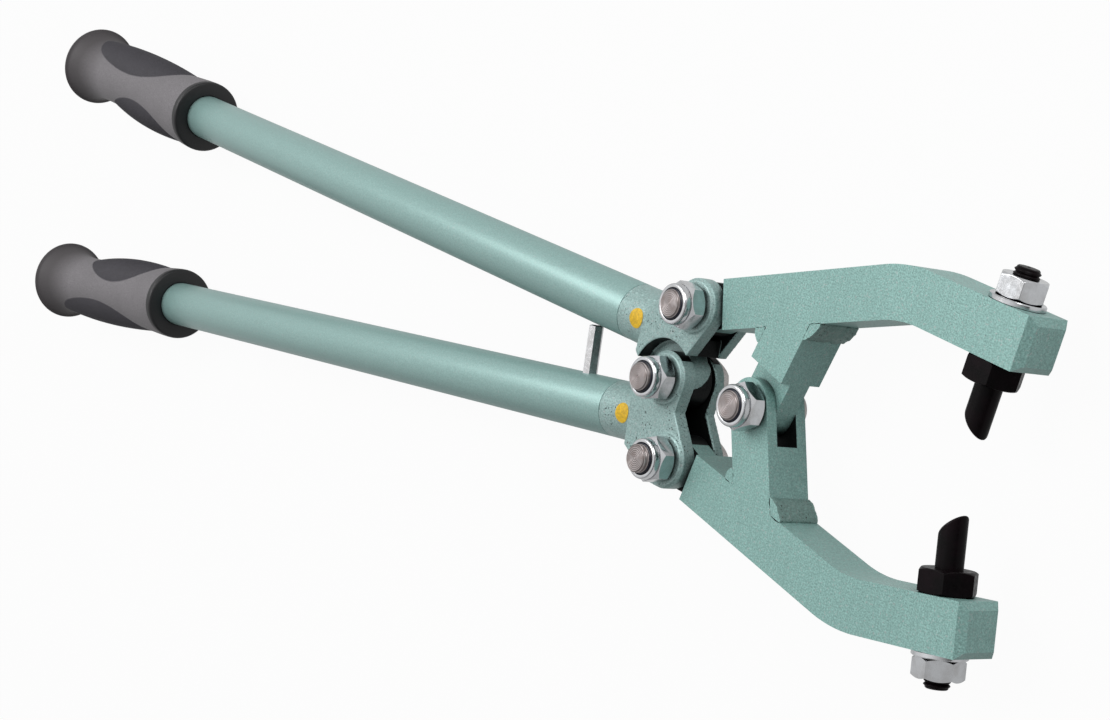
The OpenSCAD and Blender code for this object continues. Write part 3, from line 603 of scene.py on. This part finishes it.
# %% Jaw bars, lugs and beads in one
def break_edges(piece, width, angle=28):
    """Bevels sharp edges, but not those of faces with the second finish."""
    alone(piece)
    bpy.ops.object.mode_set(mode="EDIT")
    mesh = bmesh.from_edit_mesh(piece.data)
    weight = mesh.edges.layers.float.new("bevel_weight_edge")
    for edge in mesh.edges:
        faces = edge.link_faces
        sharp = len(faces) == 2 and edge.calc_face_angle(0) > math.radians(angle)
        plain = all(face.material_index == 0 for face in faces)
        edge[weight] = 1.0 if sharp and plain else 0.0
    bmesh.update_edit_mesh(piece.data)
    bpy.ops.object.mode_set(mode="OBJECT")
    return modify(piece, "BEVEL", width=width * MM, segments=2, limit_method="WEIGHT",
                  use_clamp_overlap=True, harden_normals=False)


def lies_deep(shape, point, normal, across, others):
    """Whether a point on a face has a near wall in front or on both sides."""
    if abs(normal.z) > 0.8:
        return shape.ray_cast(point, normal, across * MM)[0]
    up, down = (shape.ray_cast(point, (0, 0, way), across * MM)[0] for way in (1, -1))
    in_cheek = abs(point.z - OFFSET.z - FORK_MIDDLE * MM) > (TONGUE_HALF + 0.1) * MM
    return (up and down) or (others and in_cheek and others.ray_cast(point, normal, 8 * MM)[0])


def shade_slots(piece, dark, across=12.0, others=None, hidden=None):
    """Gives painted shade, a near-black finish, to faces between two near walls, or to faces that the
    hidden test picks.
    """
    piece.data.materials.append(dark)
    own = shape_of(piece)
    piece.data.calc_loop_triangles()
    parts = {}
    for part in piece.data.loop_triangles:
        parts.setdefault(part.polygon_index, []).append((part.center, part.area))
    count = 0
    for face in [f for f in piece.data.polygons if f.material_index == 0]:
        large = face.area > 20 * MM * MM
        pieces = parts[face.index] if large else [(face.center, face.area)]
        deep = 0.0
        for point, area in pieces:
            start = Vector(point) + face.normal * 0.2 * MM
            if lies_deep(own, start, face.normal, across, others):
                deep += area
        if deep > 0.5 * face.area or (hidden and hidden(face)):
            face.material_index = len(piece.data.materials) - 1
            count += 1
    print(piece.name, count, "faces in slots")


def shape_of(piece):
    """A tree of the piece's faces, in which rays can be cast."""
    corners = [vertex.co for vertex in piece.data.vertices]
    return BVHTree.FromPolygons(corners, [face.vertices[:] for face in piece.data.polygons])


def tongue_shade_test(pivot, radius, lit_from=None):
    """A test for the faces of a tongue near a pivot that get painted shade, or only for its shaded
    underside.
    """
    middle = spot(pivot[0], pivot[1], FORK_MIDDLE)

    def test(face):
        reach = (face.center - middle) / MM
        near = math.hypot(reach.x, reach.y) < radius and abs(reach.z) < TONGUE_HALF + 0.2
        if lit_from is None:
            return near
        behind = (TONGUE_HALF - reach.z) / (2 * TONGUE_HALF)
        return near and reach.y < lit_from + 9 * behind * behind
    return test


LUG_WAY = (math.cos(math.radians(70.5)), math.sin(math.radians(70.5)))
for half, side in (("upper", 1), ("lower", -1)):
    jaw = painted(level(merged_copy(f"{half}_jaw_arm", f"{half}_jaw_bar", False)), bar_paint)
    lug = painted(level(merged_copy(f"{half}_jaw_lug", f"{half}_lug_copy", False)), bar_paint)
    for vertex in lug.data.vertices:
        if side * (vertex.co.y - OFFSET.y) > 25 * MM:
            vertex.co += Vector((LUG_WAY[0], side * LUG_WAY[1], 0)) * 2 * MM
    for other in (lug, beads[half]):
        modify(jaw, "BOOLEAN", operation="UNION", object=other, solver="EXACT",
               material_mode="TRANSFER")
        bpy.data.objects.remove(other)
    for face in jaw.data.polygons:
        if abs(face.normal.z) > 0.95:
            face.material_index = 0
    pick_faces(jaw, lambda face: True)
    bpy.ops.mesh.dissolve_limited(angle_limit=math.radians(0.4), delimit={"MATERIAL"})
    bpy.ops.object.mode_set(mode="OBJECT")
    break_edges(jaw, 0.45)
    link = UPPER_LINK if side == 1 else LOWER_LINK
    # Painted shade in the jaw's slots, and on its tongue where it sits between the fork's cheeks.
    shade_slots(jaw, slot_shade_paint, hidden=tongue_shade_test(link, 12.5))
    replaced = [f"{half}_jaw_{part}" for part in ("arm", "lug", "weld")]
    done(jaw, None, f"{half}_jaw", replaced, 50, True)

# %% [markdown]
# The forks are castings: no edge is sharp and every inner corner is filled.
# A voxel remesh melts the model's sharp form into even faces, a smoothing pass
# rounds them like a pattern maker's fillets, and a faint noise is the sand.

# %% Cast forks
castings = {}
for half in ("upper", "lower"):
    cast = merged_copy(f"{half}_fork", f"{half}_casting")
    modify(cast, "REMESH", mode="VOXEL", voxel_size=0.42 * MM)
    modify(cast, "SMOOTH", factor=0.5, iterations=2)
    lumps(cast, 5.0, 0.2)
    painted(cast, fork_paint)
    castings[half] = cast
for half, other in (("upper", "lower"), ("lower", "upper")):
    # Painted shade on the tongue's underside by the handle pivot, on faces deep in the slots, and on cheek
    # faces close in front of the other fork.
    below = tongue_shade_test(HANDLE_PIVOT, 12.0, -1.5)
    shade_slots(castings[half], slot_shade_paint, 12.0, shape_of(castings[other]), below)
    done(castings[half], None, f"{half}_handle", [f"{half}_fork"], 60)

# %% [markdown]
# The handle tubes are drawn steel tube. A cylinder is the start: its end by the
# fork is inset to the wall and pushed in, so it is a tube and not a rod, and
# the rim is bevelled, which leaves the thin dark line where it meets the fork.

# %% Tubes
for half, side in (("upper", 1), ("lower", -1)):
    length = GRIP_START[side] + 159 - 5 - TUBE_START
    bpy.ops.object.select_all(action="DESELECT")
    bpy.ops.mesh.primitive_cylinder_add(vertices=96, radius=12.5 * MM, depth=length * MM)
    tube = bpy.context.object
    tube.name = f"{half}_drawn_tube"
    pick_faces(tube, lambda face: abs(face.normal.z) > 0.9)
    bpy.ops.mesh.inset(thickness=2.5 * MM)
    bpy.ops.mesh.bridge_edge_loops()
    bpy.ops.object.mode_set(mode="OBJECT")
    round_edges(tube, 0.35, 2, 40)
    put(tube, handle_frame(side) @ Matrix.Translation((0, 0, (TUBE_START + length / 2) * MM)))
    done(tube, tube_paint, f"{half}_handle", [f"{half}_tube"])

# %% [markdown]
# A grip is turned from one outline: wide at the collar, slim at the hand and
# flared at the end. A smooth line is drawn through the measured points first,
# so that the light runs along it without steps.

# %% Grips and collars
def smooth_line(points, cuts):
    """More points on a smooth line through the given ones."""
    made = []
    for i in range(len(points) - 1):
        before = points[max(i - 1, 0)]
        start, end = points[i], points[i + 1]
        after = points[min(i + 2, len(points) - 1)]
        for k in range(cuts):
            t = k / cuts
            pair = []
            for a, b, c, d in zip(before, start, end, after):
                bend = 2 * b + (c - a) * t + (2 * a - 5 * b + 4 * c - d) * t * t
                pair.append((bend + (3 * b - a - 3 * c + d) * t ** 3) / 2)
            made.append(tuple(pair))
    made.append(points[-1])
    return made


swell = [(20.7, 4), (20.4, 11.75), (19.6, 25.7), (18.1, 50.5), (17.2, 75.3), (17.0, 100.1)]
flare = [(17.21, 128.0), (18.05, 140.4), (19.8, 149.7), (21.9, 155.1)]
rim = [(22 + 2 * math.cos(math.radians(a)), 157 + 2 * math.sin(math.radians(a)))
       for a in range(0, 91, 15)]
outline = smooth_line(swell + flare + rim, 5)
collar = [(12.55, 0.4), (12.95, 0), (19.5, 0), (20.2, 0.3), (20.6, 0.9), (20.7, 1.6),
          (20.7, 4), (12.55, 4)]
for half, side in (("upper", 1), ("lower", -1)):
    grip = lathe(f"{half}_moulded_grip", [(12.55, 4)] + outline + [(0, 159), (0, 154), (12.55, 154)], 96)
    put(grip, grip_frame(side))
    done(grip, grip_grey[side], f"{half}_handle", [f"{half}_grip"])
    ring = lathe(f"{half}_collar", collar, 96)
    put(ring, grip_frame(side))
    done(ring, collar_black, f"{half}_handle", [f"{half}_grip_collar"])

# %% [markdown]
# The pads are slender barrels that stand out of the grip on either side, which
# gives their leaf shape. Fine ribs cross them: they are cut in the outline
# before it is spun, so they are real and catch the light.

# %% Ribbed pads
def barrel(name, bow, pitch=1.4, rib=0.35):
    """A slender barrel with ribs of this pitch across it."""
    half = 70.0
    count = int(2 * half / pitch)
    points = [(0, -half)]
    for i in range(4 * count + 1):
        height = -half + 2 * half * i / (4 * count)
        radius = 15.5 - bow + math.sqrt(bow * bow - height * height)
        wave = (0.0, 0.7, 1.0, 0.7)[i % 4]
        points.append((radius + rib * (wave - 0.5), height))
    points.append((0, half))
    return lathe(name, points, 64)


for half, side in (("upper", 1), ("lower", -1)):
    pads = []
    inner_turn = math.pi + side * math.radians(10)
    for label, middle, bow, turned in (("outer", 84, 700, 0), ("inner", 53, 370, inner_turn)):
        pad = barrel(f"{half}_{label}_pad", bow)
        move = Matrix.Rotation(turned, 4, "Z") @ Matrix.Translation((6 * MM, 0, middle * MM))
        put(pad, move)
        alone(pad)
        bpy.ops.object.mode_set(mode="EDIT")
        bpy.ops.mesh.select_all(action="SELECT")
        bpy.ops.mesh.bisect(plane_co=(0, 0, 5 * MM), plane_no=(0, 0, 1), use_fill=True,
                            clear_inner=True)
        bpy.ops.object.mode_set(mode="OBJECT")
        put(pad, grip_frame(side))
        pads.append(pad)
    done(pads[0], pad_dark, f"{half}_handle", [f"{half}_grip_pads"])
    done(pads[1], pad_dark, f"{half}_handle")

# %% [markdown]
# A hexagon nut is a six-sided prism whose corners are turned off by a cone. An
# intersection with a turned blank gives the curved chamfers of a real nut.

# %% Hexagons
def hexagon(name, flats, height, chamfer, edge=0.2):
    """Hexagon prism with turned chamfers at both ends, standing on z = 0."""
    corner = flats / math.sqrt(3)
    bpy.ops.object.select_all(action="DESELECT")
    bpy.ops.mesh.primitive_cylinder_add(vertices=6, radius=corner * MM, depth=height * MM,
                                        location=(0, 0, height / 2 * MM),
                                        rotation=(0, 0, math.radians(30)))
    piece = bpy.context.object
    piece.name = name
    bpy.ops.object.transform_apply(location=True, rotation=True, scale=True)
    blank = lathe(name + "_blank", [(0, 0), (flats / 2 - 0.3, 0), (corner + 0.1, chamfer),
                                    (corner + 0.1, height - chamfer),
                                    (flats / 2 - 0.3, height), (0, height)], 96)
    modify(piece, "BOOLEAN", operation="INTERSECT", object=blank, solver="EXACT")
    bpy.data.objects.remove(blank)
    return round_edges(piece, edge, 2, 20)


def joined(first, *others):
    """Joins pieces into the first one."""
    alone(first)
    for piece in others:
        piece.select_set(True)
    bpy.ops.object.join()
    return first


def copied(piece, name):
    """A copy with its own mesh."""
    other = piece.copy()
    other.data = piece.data.copy()
    other.name = name
    bpy.context.scene.collection.objects.link(other)
    return other


print("hexagon tools ready")

# %% [markdown]
# A lock nut is a hexagon with a round crown rolled over a nylon ring. The crown
# is turned separately and joined on; its bright rounded rim is what shows most.

# %% Lock nuts
body_of_nut = hexagon("nut_body", BOLT_FLATS, 7.2, 1.5, 0.25)
lip = [(8.22, 7.6), (8.45, 8.0), (8.5, 8.8), (8.46, 9.7), (8.25, 10.35), (7.85, 10.7), (7.4, 10.8),
       (6.95, 10.8), (6.72, 10.7), (6.6, 10.4), (6.6, 9.9)]
crown = lathe("nut_crown", smooth_line(lip, 3) + [(6.6, 8.0), (6.1, 8.0), (6.1, 5.5), (8.22, 5.5)], 96)
lock_nut = joined(body_of_nut, crown)
ring_outline = [(6.02, 8.0), (6.58, 8.0), (6.58, 10.0), (6.45, 10.6), (6.25, 11.0), (6.02, 11.1)]
nylon_ring = lathe("nylon_ring", ring_outline, 72)
PIVOTS = (("handle_pivot", "handle", HANDLE_PIVOT, FORK_BACK, FORK_SEAT, 14, 2.1, "lower_handle"),
          ("upper_link", "upper_link", UPPER_LINK, FORK_BACK, FORK_SEAT, 48, 1.4, "upper_handle"),
          ("lower_link", "lower_link", LOWER_LINK, FORK_BACK, FORK_SEAT, 22, 3.2, "lower_handle"),
          ("jaw_pivot", "jaw", JAW_PIVOT, -BAR_HALF, BAR_HALF, 27, 1.4, "lower_jaw"))
for name, short, pivot, back, seat, turned, out, body in PIVOTS:
    place = pivot_frame(pivot, seat + NUT_GAP) @ Matrix.Rotation(math.radians(turned), 4, "Z")
    nut = put(copied(lock_nut, f"{name}_lock_nut"), place)
    done(nut, zinc, body, [f"{name}_nut"], 40, True)
    ring = put(copied(nylon_ring, f"{short}_insert"), place)
    done(ring, nylon, body, [f"{short}_nylon_ring"])
bpy.data.objects.remove(lock_nut)
bpy.data.objects.remove(nylon_ring)

# %% [markdown]
# A bolt is turned from bar, so it is spun too: the thread's ridges, the chamfer
# and the centre drill's dimple are points of one outline. Its low hexagon head
# sits behind the rear cheek, and at the jaws, where space is short, a round one.

# %% Pivot bolts
def threaded(radius, start, end, pitch, depth):
    """Outline points of a thread's ridges between two heights."""
    points = []
    for i in range(int((end - start) / pitch)):
        foot = start + i * pitch
        points += [(radius - depth, foot), (radius, foot + 0.4 * pitch), (radius, foot + 0.55 * pitch)]
    return points


for name, short, pivot, back, seat, turned, out, body in PIVOTS:
    length = seat - back + NUT_GAP + NUT_HEIGHT + out
    tip = [(5.1, length - 1.75), (5.88, length - 1.0), (5.88, length - 0.7), (5.15, length)]
    tip += [(0.45, length), (0, length - 0.8)] if name == "handle_pivot" else [(0, length)]
    shank = [(0, -1.0), (6, -1.0), (6, length - 9)]
    ridges = threaded(5.88, length - 8.76, length - 1.75, 1.75, 0.78)
    bolt = lathe(f"{name}_pin", shank + ridges + tip, 72)
    if name == "jaw_pivot":
        disc = [(0, -2), (7.3, -2), (7.75, -1.8), (8, -1.3), (8, -0.2), (7.8, 0), (0, 0)]
        head = lathe(f"{name}_head", disc, 72)
    else:
        head = hexagon(f"{name}_head", BOLT_FLATS, HEAD_HEIGHT, 1.2, 0.25)
        turned_down = Matrix.Rotation(math.radians(30), 4, "Z")
        put(head, Matrix.Translation((0, 0, -HEAD_HEIGHT * MM)) @ turned_down)
    put(head, pivot_frame(pivot, back))
    put(bolt, pivot_frame(pivot, back))
    rings = turned_finish(f"turned_{name}", screen(176, 168, 167), spot(pivot[0], pivot[1]))
    done(bolt, rings, body, [f"{name}_bolt"], 30)
    done(head, head_steel, body, (), 40, True)

# %% [markdown]
# A punch is one piece: a threaded stud through the bar, a hexagon collar that
# sits on the bar, and a round shaft whose end is ground to a slant. The shaft
# is bisected along that slant and its new edge is rounded.

# %% Punches
slant = math.atan2(8.1, 10.4)
for half, side in (("upper", 1), ("lower", -1)):
    shaft = lathe(f"{half}_shaft", [(0, 10), (5.2, 10), (5.2, 40.05), (0, 40.05)], 96)
    bpy.ops.object.mode_set(mode="EDIT")
    bpy.ops.mesh.select_all(action="SELECT")
    bpy.ops.mesh.bisect(plane_co=(5.2 * MM, 0, 40.05 * MM), use_fill=True, clear_outer=True,
                        plane_no=(-math.sin(slant), 0, math.cos(slant)))
    bpy.ops.object.mode_set(mode="OBJECT")
    round_edges(shaft, 1.6, 5, 35)
    low = -(10.35 + 2 + 8.2 + 3.3)
    ridges = [(r, z) for r, z in threaded(4.9, low + 0.7, -10.0, 1.5, 0.65)]
    end = [(0, low + 0.5), (0.8, low), (3.9, low), (4.3, low + 0.4)]
    stud = lathe(f"{half}_stud", end + ridges + [(4.9, -10), (4.9, 10.5), (0, 10.5)], 72)
    flange = hexagon(f"{half}_flange", 20, 9.2, 1.0, 0.35)
    turned = Matrix.Rotation(math.radians(57 * side), 4, "Z")
    put(flange, Matrix.Translation((0, 0, 10.35 * MM)) @ turned)
    punch = joined(shaft, stud, flange)
    punch.name = f"{half}_punch_tool"
    put(punch, punch_frame(side))
    done(punch, oxide, f"{half}_jaw", [f"{half}_punch"], 50, True)

# %% [markdown]
# The punches are held from outside by a plain nut on a washer, both bright.

# %% Punch nuts and washers
for half, side, turned in (("upper", 1, 51), ("lower", -1, -18)):
    nut = hexagon(f"{half}_plain_nut", 17, 8.2, 1.1, 0.25)
    move = Matrix.Translation((0, 0, -20.55 * MM)) @ Matrix.Rotation(math.radians(turned), 4, "Z")
    put(nut, punch_frame(side) @ move)
    done(nut, zinc, f"{half}_jaw", [f"{half}_punch_nut"], 40, True)
    disc = [(5.2, -12.35), (10.1, -12.35), (10.45, -12.0), (10.45, -10.55), (10.25, -10.35), (5.2, -10.35)]
    washer = put(lathe(f"{half}_washer", disc, 96), punch_frame(side))
    done(washer, zinc, f"{half}_jaw", [f"{half}_punch_washer"])

# %% [markdown]
# The stop pin is a length of bright hexagon bar, welded into the lower tube.
# The paint marks are dabs of yellow: a disc laid on the round shank.

# %% Stop pin and paint marks
pin = merged_copy("stop_pin", "hexagon_stop")
round_edges(pin, 0.3, 2, 25)
done(pin, pin_steel, "lower_handle", ["stop_pin"], 40, True)
for half, side, along in (("upper", 1, 26.6), ("lower", -1, 23.8)):
    bpy.ops.object.select_all(action="DESELECT")
    bpy.ops.mesh.primitive_circle_add(vertices=48, radius=4.3 * MM, fill_type="TRIFAN")
    mark = bpy.context.object
    mark.name = f"{half}_dab"
    bpy.ops.object.mode_set(mode="EDIT")
    bpy.ops.mesh.select_all(action="SELECT")
    bpy.ops.mesh.subdivide(number_cuts=6)
    bpy.ops.object.mode_set(mode="OBJECT")
    centre = handle_frame(side) @ Vector((0, 0, along * MM))
    put(mark, Matrix.Translation(centre + Vector((0, 0, 0.02))))
    cast = bpy.data.objects[f"{half}_casting"]
    modify(mark, "SHRINKWRAP", target=cast, wrap_method="PROJECT", use_project_z=True,
           use_negative_direction=True, use_positive_direction=False, offset=0.02 * MM)
    modify(mark, "SOLIDIFY", thickness=0.14 * MM, offset=1.0)
    done(mark, yellow, f"{half}_handle", [f"{half}_paint_mark"], 50)

# %% [markdown]
# The photograph has a pure white ground. The floor answers the camera almost
# white, and only a little of its real shading shows, so the shadow stays soft.
# From below it is clear, so the underside can be seen too.

# %% Floor and world
bpy.ops.object.select_all(action="DESELECT")
bpy.ops.mesh.primitive_plane_add(size=30, location=(0, 0, -0.0005))
floor = bpy.context.object
floor.name = "floor"
ground = bpy.data.materials.new("ground")
ground.use_nodes = True
tree = ground.node_tree
shader = tree.nodes["Principled BSDF"]
shader.inputs["Base Color"].default_value = (0.45, 0.45, 0.45, 1)
shader.inputs["Roughness"].default_value = 0.9
shader.inputs["Specular IOR Level"].default_value = 0.0
rays = add(tree, "LightPath")
white = add(tree, "Emission", {"Strength": 1.0})
seen = add(tree, "Math", {1: 0.96}, operation="MULTIPLY")
join(tree, rays, "Is Camera Ray", seen, 0)
glossy = add(tree, "Math", {1: 0.45}, operation="MULTIPLY")
join(tree, rays, "Is Glossy Ray", glossy, 0)
either = add(tree, "Math", operation="MAXIMUM")
join(tree, seen, 0, either, 0)
join(tree, glossy, 0, either, 1)
lit = add(tree, "MixShader")
join(tree, either, 0, lit, 0)
join(tree, shader, 0, lit, 1)
join(tree, white, 0, lit, 2)
side_seen = add(tree, "NewGeometry")
clear = add(tree, "BsdfTransparent")
out_mix = add(tree, "MixShader")
join(tree, side_seen, "Backfacing", out_mix, 0)
join(tree, lit, 0, out_mix, 1)
join(tree, clear, 0, out_mix, 2)
join(tree, out_mix, 0, tree.nodes["Material Output"], "Surface")
floor.data.materials.append(ground)
floor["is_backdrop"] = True

world = bpy.data.worlds.new("studio")
bpy.context.scene.world = world
world.use_nodes = True
tree = world.node_tree
background = tree.nodes["Background"]
rays = add(tree, "LightPath")
place = add(tree, "TexCoord")
facing = add(tree, "VectorMath", {1: (-0.40, 0.28, 0.87)}, operation="DOT_PRODUCT")
join(tree, place, "Generated", facing, 0)
walls = add(tree, "MapRange", {"From Min": -0.4, "From Max": 0.9, "To Min": 0.04, "To Max": 1.0})
join(tree, facing, "Value", walls, "Value")
soft = add(tree, "Math", {1: 0.65}, operation="MULTIPLY")
join(tree, walls, 0, soft, 0)
mirror = add(tree, "Mix", data_type="FLOAT")
join(tree, rays, "Is Glossy Ray", mirror, 0)
join(tree, soft, 0, mirror, 2)
join(tree, walls, 0, mirror, 3)
strength = add(tree, "Mix", {3: 1.0}, data_type="FLOAT")
join(tree, rays, "Is Camera Ray", strength, 0)
join(tree, mirror, 0, strength, 2)
background.inputs["Color"].default_value = (1, 1, 1, 1)
join(tree, strength, 0, background, "Strength")
print("studio ready")

# %% [markdown]
# Soft light comes mostly from above and from the grips' side, so that the front
# faces are palest and the faces turned to the camera's right are darker.

# %% Lamps
def lamp(name, place, aim, size, power):
    """A square soft box at a place, aimed at a point."""
    data = bpy.data.lights.new(name, "AREA")
    data.shape = "SQUARE"
    data.size = size
    data.energy = power
    box = bpy.data.objects.new(name, data)
    bpy.context.scene.collection.objects.link(box)
    look = (Vector(aim) - Vector(place)).to_track_quat("-Z", "Y")
    box.matrix_world = Matrix.Translation(place) @ look.to_matrix().to_4x4()
    return box


lamp("key", (-0.35, 0.6, 1.5), (0.1, 0, 0), 0.9, 15.2)
lamp("fill", (0.9, 0.9, 0.38), (0.25, 0, 0), 0.7, 5.6)
bpy.context.scene.view_settings.view_transform = "Standard"

low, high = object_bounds()
